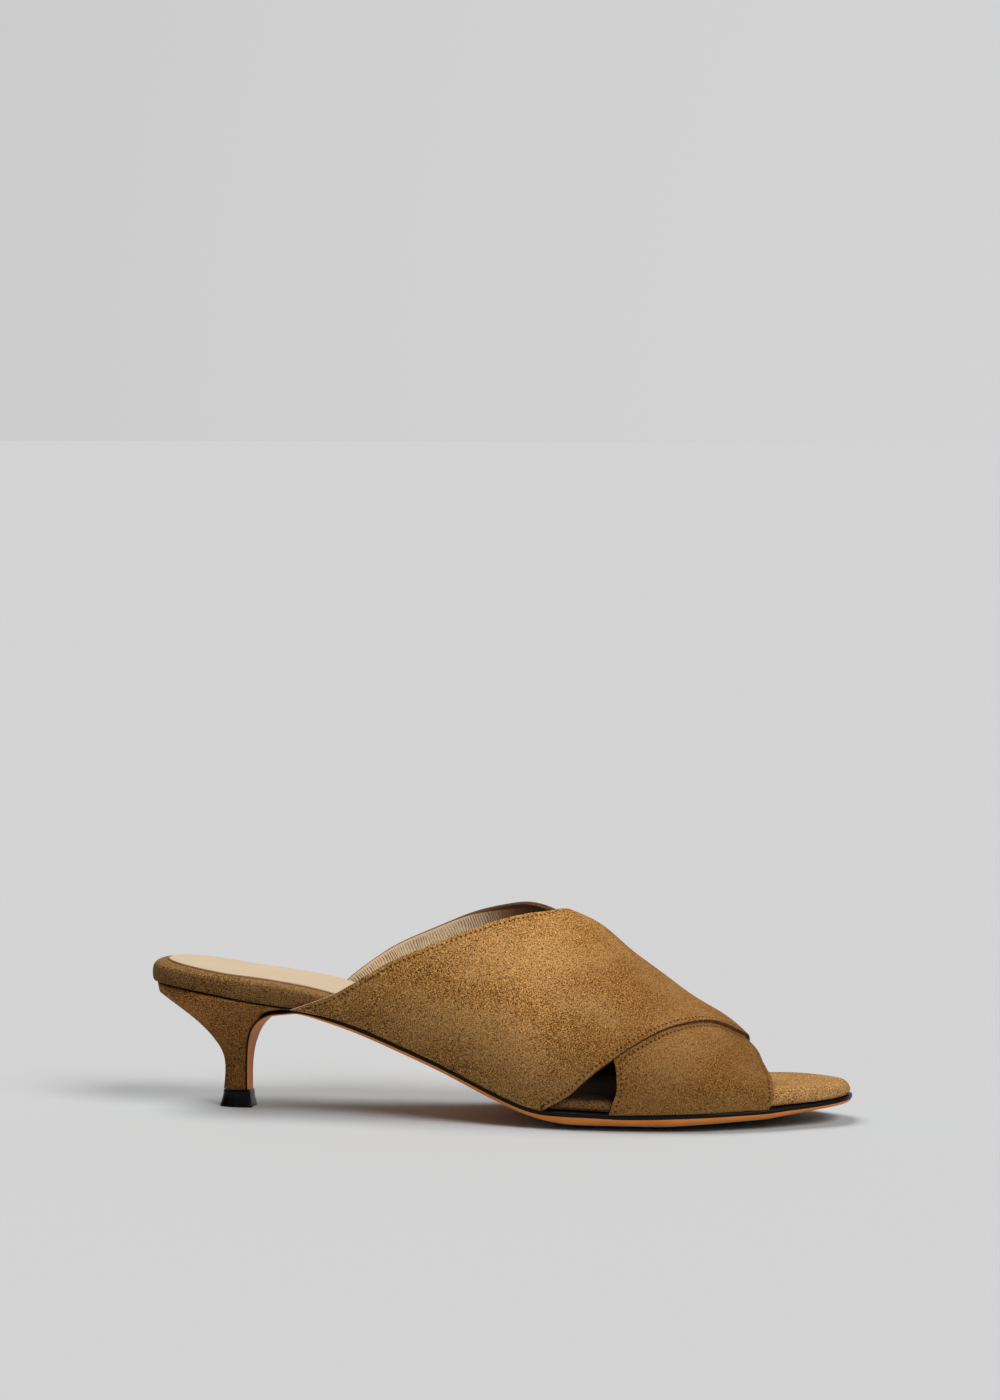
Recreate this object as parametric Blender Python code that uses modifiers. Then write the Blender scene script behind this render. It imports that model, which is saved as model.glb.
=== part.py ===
"""Kitten heel mule, right foot: two crossing suede straps on a wrapped footbed.

Built in metres. While a piece is drawn, X runs from the back of the seat to the toe, +Y is the
inner (medial) side, -Y the outer (lateral) side and Z is height over the floor. One empty then
carries every piece, so that the middle of the shoe's plan lies over the world origin.
"""

from collections import namedtuple
from math import copysign, cos, pi, radians, sin

import bmesh
import bpy
from mathutils import Vector

# Clearance between neighbouring pieces
GAP = 0.0003

# Footbed: the padded insole, wrapped in suede
FOOTBED_LENGTH = 0.2494
BALL_WIDTH = 0.0735
SEAT_ROUND = 0.027
SEAT_ROUND_POWER = 2.1
TOE_ROUND = 0.050
TOE_ROUND_POWER = 2.4
FOOTBED_THICKNESS = 0.0074
FOOTBED_EDGE_RADIUS = 0.0036
FOOTBED_LOWER_RADIUS = 0.0016
DISH_DEPTH = 0.0015
DISH_RUN = 0.010

# Heights of the feather line, where footbed, straps and outsole meet
HEEL_HEIGHT = 0.0429
BALL_HEIGHT = 0.0059
TOE_SPRING = 0.0028
LASTING_STEP = 0.0005
LASTING_RUN = 0.005

# Sock lining: thin leather laid on the footbed
SOCK_THICKNESS = 0.0006
SOCK_INSET = 0.0060
SOCK_LENGTH = 0.165

# Straps: the upper
STRAP_WALL = 0.0018
STRAP_CLEARANCE = 0.00035
STRAP_STEP = 0.0015
STRAP_CLIMB = 0.016
INSTEP_HEIGHT = 0.0638
CROSSING_SHARE = 0.556

# Outsole
SOLE_LEDGE = 0.0022
TOE_LEDGE = 0.0006
TOE_LEDGE_RUN = 0.014
SOLE_THICKNESS = 0.0036
SOLE_EDGE_FACE = 0.0012
SOLE_FACE_SHARE = 0.5
SOLE_BEVEL = 0.0019
SOLE_CAMBER_REACH = 0.016
SOLE_TIP_MARGIN = 0.002
TREAD_BACK = 0.158
TREAD_FRONT = 0.187
TREAD_RUNOUT = 0.014
WAIST_JOIN = 0.060
BREAST_CENTRING = 3.0

# Heel and its top piece
SEAT_LENGTH = 0.0565
SEAT_HALF_WIDTH = 0.0219
SEAT_BACK_INSET = 0.0017
TIP_HEIGHT = 0.0059
TIP_FOOT_LENGTH = 0.0125
TIP_FOOT_HALF_WIDTH = 0.0051
TIP_NECK_LENGTH = 0.0103
TIP_NECK_HALF_WIDTH = 0.0041
TIP_FRONT = 0.632 * SEAT_LENGTH
TIP_TOE_FLARE = 0.0008
TIP_FRONT_SHARE = 0.93
TIP_ROUND_SHARE = 0.60

# Mesh fineness
STRAP_ROWS = 52
STRAP_COLUMNS = 15
ROW_CROWDING_SHARE = 0.09
TOE_STEPS = 9
TOE_SWEEP = (5.0, 68.0)
SEAT_STEPS = 8
SEAT_SWEEP = (7.0, 83.0)
STATION_STEP = 0.0065
BED_COLUMNS = (0.06, 0.14, 0.26, 0.50, 0.74, 0.86, 0.94)
SOLE_COLUMNS = (0.13, 0.28, 0.50, 0.72, 0.87)
HEEL_BACK_STEPS = 7
HEEL_FLANK_STEPS = 3

# Outline of the footbed before its two ends are rounded off
Plan = namedtuple("Plan", "along lateral medial")
PLAN = (
    Plan(0.000, 0.305, 0.305),
    Plan(0.105, 0.308, 0.308),
    Plan(0.180, 0.306, 0.306),
    Plan(0.280, 0.312, 0.300),
    Plan(0.380, 0.329, 0.305),
    Plan(0.480, 0.382, 0.343),
    Plan(0.580, 0.461, 0.422),
    Plan(0.663, 0.497, 0.483),
    Plan(0.725, 0.490, 0.503),
    Plan(0.804, 0.453, 0.495),
    Plan(0.884, 0.346, 0.430),
    Plan(0.945, 0.283, 0.400),
    Plan(1.000, 0.245, 0.381),
)

# Side profile of the feather line: lift towards the heel, spring towards the toe
Feather = namedtuple("Feather", "along lift spring")
FEATHER = (
    Feather(0.000, 1.050, 0.00),
    Feather(0.030, 1.046, 0.00),
    Feather(0.060, 1.024, 0.00),
    Feather(0.100, 0.985, 0.00),
    Feather(0.160, 0.912, 0.00),
    Feather(0.200, 0.876, 0.00),
    Feather(0.230, 0.856, 0.00),
    Feather(0.262, 0.824, 0.00),
    Feather(0.295, 0.772, 0.00),
    Feather(0.325, 0.706, 0.00),
    Feather(0.388, 0.539, 0.00),
    Feather(0.443, 0.392, 0.00),
    Feather(0.497, 0.229, 0.00),
    Feather(0.552, 0.079, 0.00),
    Feather(0.580, 0.022, 0.00),
    Feather(0.610, 0.004, 0.00),
    Feather(0.660, 0.000, 0.00),
    Feather(0.730, 0.000, 0.08),
    Feather(0.798, 0.000, 0.28),
    Feather(0.863, 0.000, 0.43),
    Feather(0.914, 0.000, 0.52),
    Feather(0.966, 0.000, 0.75),
    Feather(1.000, 0.000, 1.00),
)

# Thickness of footbed and outsole, how far the footbed's bed is dished inside its rim, and how
# far the outsole's underside rises to its edge
Thickness = namedtuple("Thickness", "along footbed dish sole camber")
THICKNESS = (
    Thickness(0.000, 1.10, 0.00, 0.22, 0.00),
    Thickness(0.050, 1.03, 0.50, 0.22, 0.00),
    Thickness(0.120, 1.03, 1.00, 0.22, 0.00),
    Thickness(0.170, 1.16, 1.00, 0.22, 0.00),
    Thickness(0.220, 1.11, 1.00, 0.28, 0.00),
    Thickness(0.300, 0.99, 0.90, 0.62, 0.00),
    Thickness(0.360, 0.96, 0.80, 0.74, 0.04),
    Thickness(0.500, 0.88, 0.50, 0.90, 0.10),
    Thickness(0.580, 0.78, 0.30, 1.15, 0.34),
    Thickness(0.680, 0.72, 0.15, 1.62, 0.56),
    Thickness(0.740, 0.73, 0.10, 1.62, 0.56),
    Thickness(0.800, 0.78, 0.00, 1.52, 0.48),
    Thickness(0.863, 0.84, 0.00, 1.34, 0.40),
    Thickness(0.914, 0.90, 0.00, 1.14, 0.28),
    Thickness(0.966, 0.84, 0.00, 0.74, 0.14),
    Thickness(1.000, 0.74, 0.00, 0.58, 0.06),
)

# The last: crown height over the feather line as a share of the instep height, sideways lean
# of the crown as a share of the ball width, and squareness of the section
Last = namedtuple("Last", "along crown lean square")
LAST = (
    Last(0.200, 1.240, 0.054, 2.60),
    Last(0.300, 1.230, 0.068, 2.60),
    Last(0.400, 1.180, 0.082, 2.50),
    Last(0.480, 1.130, 0.082, 2.35),
    Last(0.543, 1.064, 0.082, 2.20),
    Last(0.587, 0.998, 0.075, 2.10),
    Last(0.631, 0.935, 0.068, 2.00),
    Last(0.678, 0.781, 0.061, 2.00),
    Last(0.723, 0.651, 0.054, 2.00),
    Last(0.768, 0.515, 0.054, 2.05),
    Last(0.816, 0.394, 0.054, 2.15),
    Last(0.848, 0.268, 0.050, 2.45),
    Last(0.880, 0.178, 0.044, 3.10),
    Last(0.906, 0.144, 0.040, 3.80),
    Last(0.940, 0.134, 0.040, 4.00),
)

# Edges of the straps, from a foot at the feather line (turn 0) up to the crossing (turn 1).
# A strap has its back foot on one side of the shoe and its fore foot on the other.
Strap = namedtuple("Strap", "turn back_rear back_front fore_rear fore_front")
STRAP_LATERAL = (
    Strap(0.000, 0.222, 0.592, 0.686, 0.898),
    Strap(0.020, 0.270, 0.609, 0.689, 0.901),
    Strap(0.050, 0.302, 0.629, 0.692, 0.903),
    Strap(0.100, 0.336, 0.649, 0.697, 0.904),
    Strap(0.170, 0.373, 0.673, 0.695, 0.904),
    Strap(0.250, 0.415, 0.698, 0.687, 0.903),
    Strap(0.350, 0.457, 0.726, 0.677, 0.902),
    Strap(0.500, 0.508, 0.759, 0.657, 0.898),
    Strap(0.650, 0.547, 0.789, 0.635, 0.891),
    Strap(0.750, 0.568, 0.806, 0.620, 0.884),
    Strap(0.820, 0.580, 0.817, 0.612, 0.878),
    Strap(0.900, 0.589, 0.828, 0.604, 0.869),
    Strap(1.000, 0.597, 0.836, 0.597, 0.858),
)
STRAP_MEDIAL = (
    Strap(0.000, 0.240, 0.620, 0.700, 0.864),
    Strap(0.020, 0.255, 0.634, 0.703, 0.863),
    Strap(0.050, 0.274, 0.650, 0.705, 0.861),
    Strap(0.100, 0.302, 0.668, 0.706, 0.858),
    Strap(0.170, 0.335, 0.690, 0.704, 0.854),
    Strap(0.250, 0.370, 0.711, 0.697, 0.850),
    Strap(0.350, 0.409, 0.735, 0.685, 0.846),
    Strap(0.500, 0.458, 0.768, 0.662, 0.842),
    Strap(0.650, 0.501, 0.799, 0.638, 0.840),
    Strap(0.750, 0.525, 0.820, 0.622, 0.840),
    Strap(0.820, 0.543, 0.832, 0.613, 0.839),
    Strap(0.900, 0.567, 0.846, 0.605, 0.838),
    Strap(1.000, 0.597, 0.858, 0.597, 0.836),
)

# Heel, level by level: the breast that the outsole runs down, the back, and half widths.
# Distances forward are shares of the seat length, heights of the way up from the top piece,
# half widths of the seat's own.
Heel = namedtuple("Heel", "breast_x breast_z back_x back_z half front_half rounding")
HEEL = (
    Heel(1.000, 0.836, 0.021, 0.992, 1.000, 0.965, 0.47),
    Heel(0.949, 0.820, 0.042, 0.954, 0.957, 0.909, 0.47),
    Heel(0.835, 0.798, 0.098, 0.888, 0.855, 0.780, 0.48),
    Heel(0.768, 0.755, 0.179, 0.793, 0.712, 0.622, 0.50),
    Heel(0.708, 0.694, 0.264, 0.692, 0.570, 0.480, 0.52),
    Heel(0.662, 0.612, 0.335, 0.591, 0.441, 0.370, 0.54),
    Heel(0.637, 0.516, 0.386, 0.501, 0.334, 0.287, 0.56),
    Heel(0.621, 0.402, 0.434, 0.402, 0.250, 0.220, 0.58),
    Heel(0.614, 0.287, 0.462, 0.292, 0.203, 0.171, 0.60),
    Heel(0.611, 0.143, 0.462, 0.143, 0.183, 0.156, 0.60),
    Heel(0.612, 0.000, 0.451, 0.000, 0.181, 0.156, 0.60),
)

# Top piece: rise over the floor and flare, from neck (0) to foot (1)
Tip = namedtuple("Tip", "rise flare")
TIP = (
    Tip(1.00, 0.00),
    Tip(0.72, 0.10),
    Tip(0.42, 0.36),
    Tip(0.12, 0.88),
    Tip(0.00, 1.00),
)


def follow(rows, column, along, key="along"):
    """Smooth value of a table's column at a place, with no overshoot between rows."""
    xs = [getattr(row, key) for row in rows]
    ys = [getattr(row, column) for row in rows]
    if along <= xs[0]:
        return ys[0]
    if along >= xs[-1]:
        return ys[-1]
    steps = [b - a for a, b in zip(xs, xs[1:])]
    slopes = [(b - a) / step for a, b, step in zip(ys, ys[1:], steps)]
    tangents = [slopes[0]]
    for i in range(1, len(xs) - 1):
        before, after = slopes[i - 1], slopes[i]
        if before * after <= 0.0:
            tangents.append(0.0)
        else:
            near = 2.0 * steps[i] + steps[i - 1]
            far = steps[i] + 2.0 * steps[i - 1]
            tangents.append((near + far) / (near / before + far / after))
    tangents.append(slopes[-1])
    i = max(k for k in range(len(steps)) if xs[k] <= along)
    t = (along - xs[i]) / steps[i]
    return (
        (2 * t**3 - 3 * t**2 + 1) * ys[i]
        + (t**3 - 2 * t**2 + t) * steps[i] * tangents[i]
        + (3 * t**2 - 2 * t**3) * ys[i + 1]
        + (t**3 - t**2) * steps[i] * tangents[i + 1]
    )


def ease(value):
    """0 below 0, 1 above 1, and a soft S between."""
    value = min(max(value, 0.0), 1.0)
    return value * value * (3.0 - 2.0 * value)


def corner(share, squareness):
    """Height of a rounded corner, 0 to 1, at a share of the way over it."""
    return max(0.0, 1.0 - (1.0 - share) ** squareness) ** (1.0 / squareness)


def end_rounding(x):
    """Share of the full half width that the rounded seat and toe leave at x."""
    share = 1.0
    if x < SEAT_ROUND:
        share *= corner(x / SEAT_ROUND, SEAT_ROUND_POWER)
    if x > FOOTBED_LENGTH - TOE_ROUND:
        share *= corner((FOOTBED_LENGTH - x) / TOE_ROUND, TOE_ROUND_POWER)
    return share


def footbed_sides(x):
    """Y of the footbed's lateral and medial edge at x."""
    x = min(max(x, 0.0), FOOTBED_LENGTH)
    along = x / FOOTBED_LENGTH
    lateral = -follow(PLAN, "lateral", along) * BALL_WIDTH
    medial = follow(PLAN, "medial", along) * BALL_WIDTH
    middle = (lateral + medial) / 2.0
    half = (medial - lateral) / 2.0 * end_rounding(x)
    return middle - half, middle + half


def last_line(x):
    """Height of the feather line at x, without the steps left by the straps' lasting."""
    along = x / FOOTBED_LENGTH
    lift = follow(FEATHER, "lift", along) * (HEEL_HEIGHT - BALL_HEIGHT)
    return BALL_HEIGHT + lift + follow(FEATHER, "spring", along) * TOE_SPRING


def feather(x):
    """Height of the feather line at x: a step higher where no strap is lasted under."""
    foot = STRAP_LATERAL[0]
    opens = ease((x - foot.back_front * FOOTBED_LENGTH) / LASTING_RUN)
    closes = ease((foot.fore_rear * FOOTBED_LENGTH - x) / LASTING_RUN)
    toe = ease((x - foot.fore_front * FOOTBED_LENGTH) / LASTING_RUN)
    return last_line(x) + LASTING_STEP * max(opens * closes, toe)


def footbed_top(x):
    """Height of the footbed's upper face at x."""
    return last_line(x) + follow(THICKNESS, "footbed", x / FOOTBED_LENGTH) * FOOTBED_THICKNESS


def sweep(degrees, steps):
    """Shares of a quarter round's depth at even turns from the first angle to the last."""
    first, last = degrees
    turns = [first + (last - first) * i / steps for i in range(steps + 1)]
    return [1.0 - cos(radians(turn)) for turn in turns]


def bed_height(point, edge):
    """Height of the footbed's dished bed at a plan point, with its distance from the rim."""
    dish = follow(THICKNESS, "dish", point.x / FOOTBED_LENGTH) * DISH_DEPTH
    return footbed_top(point.x) - dish * ease(edge / DISH_RUN)


def stations(start, end):
    """X of the cross sections between two places, closer together where an end is rounded."""
    toe = [FOOTBED_LENGTH - TOE_ROUND * share for share in sweep(TOE_SWEEP, TOE_STEPS)]
    seat = [SEAT_ROUND * share for share in reversed(sweep(SEAT_SWEEP, SEAT_STEPS))]
    count = round((toe[-1] - seat[0]) / STATION_STEP)
    middle = [toe[-1] + (seat[0] - toe[-1]) * i / count for i in range(1, count)]
    return [x for x in toe + middle + seat if start <= x <= end]


def outline(xs):
    """Lateral and medial edge points of the footbed at each station."""
    sides = [footbed_sides(x) for x in xs]
    lateral = [Vector((x, y[0])) for x, y in zip(xs, sides)]
    medial = [Vector((x, y[1])) for x, y in zip(xs, sides)]
    return lateral, medial


def shift_edge(points, other, distance):
    """Edge points moved outwards by a distance for each, across the edge's own direction."""
    moved = []
    for i, point in enumerate(points):
        before = points[i - 1] if i else other[0]
        after = points[i + 1] if i + 1 < len(points) else other[-1]
        direction = (after - before).normalized()
        normal = Vector((-direction.y, direction.x))
        if normal.dot(point - other[i]) < 0.0:
            normal.negate()
        if abs(normal.dot((point - other[i]).normalized())) < 1e-6:
            normal = Vector((1.0, 0.0))
        moved.append(point + normal * distance[i])
    return moved


def inset_edges(lateral, medial, distances):
    """Both edges moved inwards by a distance for each station."""
    inwards = [-distance for distance in distances]
    return shift_edge(lateral, medial, inwards), shift_edge(medial, lateral, inwards)


def object_from(name, bm):
    """Mesh object with outward faces, smooth where its faces meet softly."""
    bmesh.ops.recalc_face_normals(bm, faces=bm.faces)
    if bm.calc_volume(signed=True) < 0.0:
        bmesh.ops.reverse_faces(bm, faces=bm.faces)
    mesh = bpy.data.meshes.new(name)
    bm.to_mesh(mesh)
    bm.free()
    mesh.shade_smooth()
    mesh.set_sharp_from_angle(angle=radians(38))
    return bpy.data.objects.new(name, mesh)


def plate(name, rings, over=(), under=()):
    """Closed plate from rings of edge points, top ring first.

    A ring is a pair of lists: the lateral and the medial points, station by station. The
    optional columns are lists of points across the upper and the lower face, lateral first.
    """
    bm = bmesh.new()
    lateral = [[bm.verts.new(point) for point in ring[0]] for ring in rings]
    medial = [[bm.verts.new(point) for point in ring[1]] for ring in rings]
    upper = [[bm.verts.new(point) for point in column] for column in over]
    lower = [[bm.verts.new(point) for point in column] for column in under]
    around = lateral + lower + medial[::-1] + upper[::-1]
    count = len(around[0])
    for i in range(count - 1):
        for a, b in zip(around, around[1:] + around[:1]):
            bm.faces.new((a[i], a[i + 1], b[i + 1], b[i]))
    for i in (0, count - 1):
        sides = [(lateral[j][i], medial[j][i]) for j in range(len(rings))]
        roof = [column[i] for column in upper]
        floor = [column[i] for column in lower]
        for level, ((a, b), (c, d)) in enumerate(zip(sides, sides[1:])):
            above = roof if level == 0 else []
            below = floor[::-1] if level == len(sides) - 2 else []
            bm.faces.new([a, *above, b, d, *below, c])
    return object_from(name, bm)


def lift_ring(edges, height):
    """Ring of points over a pair of plan edges, each at the height that its x gives."""
    return tuple([Vector((p.x, p.y, height(p.x))) for p in edge] for edge in edges)


def bed_columns(edges, inset, lift):
    """Columns of points across the dished bed, between edges moved inwards."""
    sides = inset_edges(*edges, [inset] * len(edges[0]))
    columns = []
    for share in BED_COLUMNS:
        column = []
        for lateral, medial in zip(*sides):
            point = lateral.lerp(medial, share)
            edge = min((point - lateral).length, (point - medial).length)
            reach = edge + inset - FOOTBED_EDGE_RADIUS
            column.append(Vector((point.x, point.y, bed_height(point, reach) + lift)))
        columns.append(column)
    return columns


def make_footbed():
    """Insole board and foam as one pad with a rounded side."""
    edges = outline(stations(0.0, FOOTBED_LENGTH))
    rings = []
    for degrees in (90, 60, 30, 0):
        inset = FOOTBED_EDGE_RADIUS * (1.0 - cos(radians(degrees)))
        drop = FOOTBED_EDGE_RADIUS * (1.0 - sin(radians(degrees)))
        ring = inset_edges(*edges, [inset] * len(edges[0]))
        rings.append(lift_ring(ring, lambda x, drop=drop: footbed_top(x) - drop))
    for degrees in (0, 45, 90):
        inset = FOOTBED_LOWER_RADIUS * (1.0 - cos(radians(degrees)))
        rise = FOOTBED_LOWER_RADIUS * (1.0 - sin(radians(degrees)))
        ring = inset_edges(*edges, [inset] * len(edges[0]))
        rings.append(lift_ring(ring, lambda x, rise=rise: feather(x) + rise))
    return plate("footbed", rings, over=bed_columns(edges, FOOTBED_EDGE_RADIUS, 0.0))


def make_sock_lining():
    """Leather sock, set in from the footbed's edge, ending under the straps."""
    edges = outline(stations(0.0, SOCK_LENGTH))
    ring = inset_edges(*edges, [SOCK_INSET] * len(edges[0]))
    rings = []
    columns = []
    for lift in (GAP + SOCK_THICKNESS, GAP):
        sides = []
        for side in ring:
            heights = [bed_height(p, SOCK_INSET - FOOTBED_EDGE_RADIUS) + lift for p in side]
            sides.append([Vector((p.x, p.y, z)) for p, z in zip(side, heights)])
        rings.append(sides)
        columns.append(bed_columns(edges, SOCK_INSET, lift))
    return plate("sock_lining", rings, over=columns[0], under=columns[1])


def heel_rise(share):
    """Height at a share of the way from the heel's foot up to the seat."""
    foot = TIP_HEIGHT + GAP
    return foot + share * (HEEL_HEIGHT - foot)


def breast_line():
    """Points (x, z) of the outsole's inner face from the waist down the heel's breast."""
    points = [Vector((WAIST_JOIN, feather(WAIST_JOIN) - GAP))]
    for row in HEEL:
        points.append(Vector((row.breast_x * SEAT_LENGTH, heel_rise(row.breast_z))))
    return points


def facing(points, i):
    """Unit vector out of the breast line at a point, away from the heel."""
    before = points[max(i - 1, 0)]
    after = points[min(i + 1, len(points) - 1)]
    direction = (after - before).normalized()
    return Vector((-direction.y, direction.x))


def sole_depth(x):
    """Full thickness of the outsole at x, down to the floor where it treads."""
    depth = follow(THICKNESS, "sole", x / FOOTBED_LENGTH) * SOLE_THICKNESS
    onto = ease((x - TREAD_BACK + TREAD_RUNOUT) / TREAD_RUNOUT)
    off = ease((TREAD_FRONT + TREAD_RUNOUT - x) / TREAD_RUNOUT)
    tread = onto * off
    return depth + tread * (feather(x) - GAP - depth)


def sole_ledge(x):
    """How far the outsole stands out from the footbed at x."""
    front = STRAP_LATERAL[0].fore_front * FOOTBED_LENGTH
    return SOLE_LEDGE + (TOE_LEDGE - SOLE_LEDGE) * ease((x - front) / TOE_LEDGE_RUN)


class Sole:
    """Outsole cut flat, then bent: each point has a place along, a place across and a depth."""

    def __init__(self):
        self.xs = stations(WAIST_JOIN, FOOTBED_LENGTH)
        bed = outline(self.xs)
        ledges = [sole_ledge(x) for x in self.xs]
        lateral = shift_edge(*bed, ledges)
        medial = shift_edge(*bed[::-1], ledges)
        self.breast = breast_line()
        self.bends = {}
        place = self.breast[0].x
        previous = self.breast[0]
        middle = (bed[0][-1].y + bed[1][-1].y) / 2.0
        for i, row in enumerate(HEEL, start=1):
            point = self.breast[i]
            place -= (point - previous).length
            previous = point
            half = row.front_half * SEAT_HALF_WIDTH + GAP
            shift = middle * max(0.0, 1.0 - i / BREAST_CENTRING)
            lateral.append(Vector((place, shift - half)))
            medial.append(Vector((place, shift + half)))
            self.bends[len(lateral) - 1] = (point, facing(self.breast, i))
        self.edges = lateral, medial

    def place(self, i, point, depth):
        """Bent position of a point of station i that lies at a depth under the inner face."""
        if i in self.bends:
            start, out = self.bends[i]
            slide = point.x - self.edges[0][i].x
            along = Vector((-out.y, out.x)) * -slide
            spot = start + out * depth + along
            return Vector((spot.x, point.y, spot.y))
        return Vector((point.x, point.y, feather(point.x) - GAP - depth))

    def depth(self, i, point):
        """Full thickness at a point of station i."""
        if i in self.bends:
            return follow(THICKNESS, "sole", 0.0) * SOLE_THICKNESS
        return sole_depth(point.x)

    def camber(self, i, point):
        """Rise of the under face at the outsole's edge."""
        if i in self.bends:
            return 0.0
        return follow(THICKNESS, "camber", point.x / FOOTBED_LENGTH) * SOLE_THICKNESS


def make_outsole():
    """Leather outsole: upright edge, rounded lower corner, slightly cambered underside."""
    sole = Sole()
    count = len(sole.edges[0])
    full = [sole.depth(i, p) - sole.camber(i, p) for i, p in enumerate(sole.edges[0])]
    face = [min(SOLE_EDGE_FACE, SOLE_FACE_SHARE * depth) for depth in full]
    bevel = [min(SOLE_BEVEL, depth - upright) for depth, upright in zip(full, face)]
    rings = []
    for inset, drop in ((0.0, None), (0.0, 0.0), (0.35, 0.6), (1.0, 1.0)):
        edges = inset_edges(*sole.edges, [inset * width for width in bevel])
        ring = []
        for edge in edges:
            points = []
            for i, point in enumerate(edge):
                rise = sole.depth(i, point) - sole.camber(i, point) - face[i]
                depth = 0.0 if drop is None else face[i] + drop * rise
                points.append(sole.place(i, point, depth))
            ring.append(points)
        rings.append(ring)
    inner = inset_edges(*sole.edges, bevel)
    under = []
    for share in SOLE_COLUMNS:
        column = []
        for i in range(count):
            point = inner[0][i].lerp(inner[1][i], share)
            edge = min((point - side[i]).length for side in inner)
            tip = abs(point.x - FOOTBED_LENGTH) + SOLE_TIP_MARGIN
            closeness = 1.0 - min(edge, tip, SOLE_CAMBER_REACH) / SOLE_CAMBER_REACH
            depth = sole.depth(i, point) - sole.camber(i, point) * closeness**2
            column.append(sole.place(i, point, depth))
        under.append(column)
    return plate("outsole", rings, under=under)


def last_point(x, turn):
    """Point of the last at x, a share of the way round from lateral to medial feather."""
    along = x / FOOTBED_LENGTH
    lateral, medial = footbed_sides(x)
    half = (medial - lateral) / 2.0 + STRAP_CLEARANCE
    crown = follow(LAST, "crown", along) * INSTEP_HEIGHT
    power = 2.0 / follow(LAST, "square", along)
    across, up = cos(pi * turn), sin(pi * turn)
    lean = follow(LAST, "lean", along) * BALL_WIDTH * up * up
    y = (lateral + medial) / 2.0 - half * copysign(abs(across) ** power, across) + lean
    base = feather(x)
    return Vector((x, y, base + (crown + last_line(x) - base) * abs(up) ** power))


def last_normal(x, turn):
    """Unit vector out of the last."""
    turn = min(max(turn, 0.004), 0.996)
    step_x = last_point(x + 0.0005, turn) - last_point(x - 0.0005, turn)
    step_turn = last_point(x, turn + 0.003) - last_point(x, turn - 0.003)
    return step_x.cross(step_turn).normalized()


def strap_edges(turn, back_on_lateral):
    """Rear and front x of a strap at a turn round the last."""
    on_lateral = turn <= CROSSING_SHARE
    rows = STRAP_LATERAL if on_lateral else STRAP_MEDIAL
    share = turn / CROSSING_SHARE if on_lateral else (1.0 - turn) / (1.0 - CROSSING_SHARE)
    part = "back" if on_lateral == back_on_lateral else "fore"
    rear = follow(rows, part + "_rear", share, "turn") * FOOTBED_LENGTH
    front = follow(rows, part + "_front", share, "turn") * FOOTBED_LENGTH
    return rear, front


def climb(x, turn):
    """How far the upper strap stands off the last to pass over the strap under it."""
    rear, front = strap_edges(turn, back_on_lateral=False)
    outside = max(rear - x, x - front, 0.0)
    return STRAP_STEP * ease(1.0 - outside / STRAP_CLIMB)


def make_strap(name, back_on_lateral, over):
    """One strap: an open sheet on the last, thickened outwards to its wall."""
    bm = bmesh.new()
    grid = []
    for i in range(STRAP_ROWS + 1):
        share = i / STRAP_ROWS
        turn = share - ROW_CROWDING_SHARE * sin(2.0 * pi * share)
        rear, front = strap_edges(turn, back_on_lateral)
        row = []
        for j in range(STRAP_COLUMNS + 1):
            x = rear + (front - rear) * j / STRAP_COLUMNS
            lift = climb(x, turn) if over else 0.0
            row.append(bm.verts.new(last_point(x, turn) + last_normal(x, turn) * lift))
        grid.append(row)
    for a, b in zip(grid, grid[1:]):
        for j in range(STRAP_COLUMNS):
            bm.faces.new((a[j], a[j + 1], b[j + 1], b[j]))
    mesh = bpy.data.meshes.new(name)
    bm.to_mesh(mesh)
    bm.free()
    strap = bpy.data.objects.new(name, mesh)
    wall = strap.modifiers.new("wall", "SOLIDIFY")
    wall.thickness = STRAP_WALL
    wall.offset = 1.0
    wall.use_even_offset = True
    wall.use_quality_normals = True
    return strap


def d_section(back, front, half, front_half, rounding, height):
    """D-shaped ring: round at the back, straight across the front, heights by x."""
    spots = [rounding * share for share in sweep((0.0, 90.0), HEEL_BACK_STEPS)[1:]]
    for i in range(1, HEEL_FLANK_STEPS + 1):
        spots.append(rounding + (1.0 - rounding) * i / HEEL_FLANK_STEPS)
    lateral, medial = [], []
    for spot in spots:
        bow = corner(min(spot / rounding, 1.0), SEAT_ROUND_POWER)
        taper = max(0.0, (spot - rounding) / (1.0 - rounding))
        width = (half + (front_half - half) * taper**2) * bow
        x = back + (front - back) * spot
        lateral.append(Vector((x, -width, height(x))))
        medial.append(Vector((x, width, height(x))))
    return [Vector((back, 0.0, height(back)))] + lateral + medial[::-1]


def loft(name, sections):
    """Closed body through D sections, its two end faces laid across from side to side."""
    bm = bmesh.new()
    rings = [[bm.verts.new(point) for point in section] for section in sections]
    count = len(rings[0])
    for a, b in zip(rings, rings[1:]):
        for i in range(count):
            j = (i + 1) % count
            bm.faces.new((a[i], a[j], b[j], b[i]))
    for ring in (rings[0], rings[-1]):
        bm.faces.new((ring[0], ring[1], ring[-1]))
        for i in range(1, count // 2):
            bm.faces.new((ring[i], ring[i + 1], ring[-i - 1], ring[-i]))
    return object_from(name, bm)


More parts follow.
